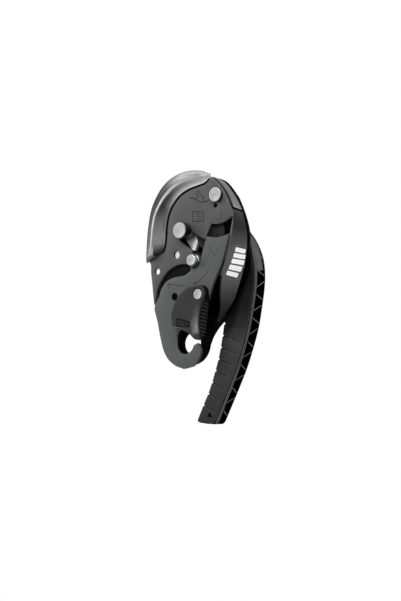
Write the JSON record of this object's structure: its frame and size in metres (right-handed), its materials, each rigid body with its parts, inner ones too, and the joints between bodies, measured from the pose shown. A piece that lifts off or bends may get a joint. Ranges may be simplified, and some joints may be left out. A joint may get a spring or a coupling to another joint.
{
  "type": "belay device",
  "caption": "Self-braking rope descender: hooked opening side plate with sprung gate, curled steel rope lip, cam and long swinging control handle.",
  "frame": {"origin": "axis of the attachment hole, half way through the fixed side plate at that hole", "axes": "+Z from the attachment hole up towards the rope end, +Y from the opening face to the back where the handle is, +X to the right seen from the opening face"},
  "size_m": [0.1202, 0.0501, 0.234],
  "materials": {
    "anodised_plate": "satin",
    "anodised_plate_light": "satin",
    "polished_steel": "satin",
    "turned_steel": "brushed",
    "cast_steel": "satin",
    "spring_steel": "satin",
    "bronze": "satin",
    "gate_nylon": "satin",
    "handle_nylon": "matte",
    "button_nylon": "satin"
  },
  "bodies": {
    "frame": {"fixed_side_plate": "anodised_plate", "wall_liner": "polished_steel", "rope_shoe": "polished_steel", "shoe_rivets": "turned_steel", "keeper_pin": "turned_steel", "pivot_pin": "turned_steel", "pivot_spacer": "turned_steel", "rope_guide_pin": "turned_steel", "cam_axle": "turned_steel", "axle_washer": "turned_steel", "axle_nut": "turned_steel", "cam_spring": "spring_steel", "catch_spring": "spring_steel"},
    "opening_plate": {"upper_side_plate": "anodised_plate", "lower_side_plate": "anodised_plate_light", "rope_lip": "polished_steel", "lip_studs": "turned_steel", "plate_post": "turned_steel", "post_washer": "turned_steel", "gate_rivet": "turned_steel", "gate_spring": "spring_steel"},
    "gate": {"gate": "gate_nylon", "gate_bush": "bronze"},
    "catch": {"rope_catch": "polished_steel"},
    "cam": {"cam": "cast_steel", "cam_bush": "bronze"},
    "handle": {"handle": "handle_nylon", "hub_insert": "turned_steel", "insert_screws": "turned_steel", "button_spring": "spring_steel"},
    "button": {"handle_button": "button_nylon"}
  },
  "joints": [
    {"name": "plate_swing", "type": "hinge", "parent": "frame", "child": "opening_plate", "pos_m": [0.0165, -0.011, 0.1397], "axis": [0, 1, 0], "range_deg": [0, 24]},
    {"name": "gate_hinge", "type": "hinge", "parent": "opening_plate", "child": "gate", "pos_m": [0.013, -0.0158, 0.046], "axis": [0, 1, 0], "range_deg": [0, 36], "stiffness_Nm_per_rad": 0.03},
    {"name": "catch_hinge", "type": "hinge", "parent": "frame", "child": "catch", "pos_m": [-0.0158, -0.0031, 0.1031], "axis": [0, 1, 0], "range_deg": [-8, 20], "stiffness_Nm_per_rad": 0.02},
    {"name": "cam_turn", "type": "hinge", "parent": "frame", "child": "cam", "pos_m": [0.012, -0.002, 0.102], "axis": [0, 1, 0], "range_deg": [-10, 25], "stiffness_Nm_per_rad": 0.03},
    {"name": "handle_turn", "type": "hinge", "parent": "frame", "child": "handle", "pos_m": [0.012, 0.016, 0.102], "axis": [0, -1, 0], "range_deg": [-8, 130]},
    {"name": "button_press", "type": "slide", "parent": "handle", "child": "button", "axis": [0, -1, 0], "range_m": [0, 0.0025], "stiffness_N_per_m": 400}
  ]
}
